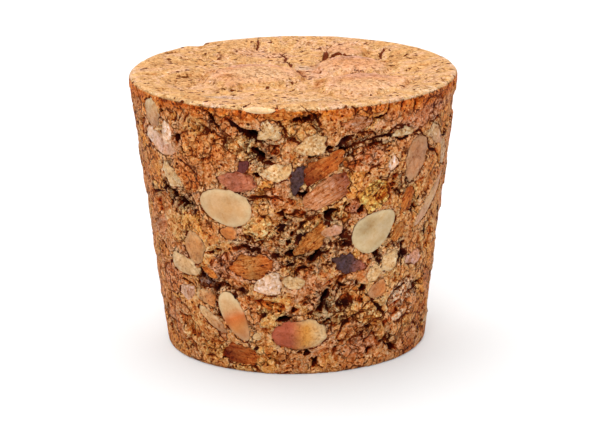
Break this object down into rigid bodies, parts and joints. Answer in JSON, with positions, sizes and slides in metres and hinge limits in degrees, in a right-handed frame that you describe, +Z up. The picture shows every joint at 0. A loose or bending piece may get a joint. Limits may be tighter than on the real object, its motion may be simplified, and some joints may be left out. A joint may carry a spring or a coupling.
{
  "type": "cork stopper",
  "caption": "Tapered round stopper of agglomerated cork that plugs the neck of a jar or jug and stands on its small end.",
  "frame": {"origin": "centre of the small end, which the stopper stands on", "axes": "+Z up the axis to the wide end; -Y is the front, +X to its right"},
  "size_m": [0.044, 0.0441, 0.0374],
  "materials": {
    "cork": "matte ground cork granules with smoother chips"
  },
  "bodies": {
    "root": {"stopper": "cork"}
  },
  "joints": []
}
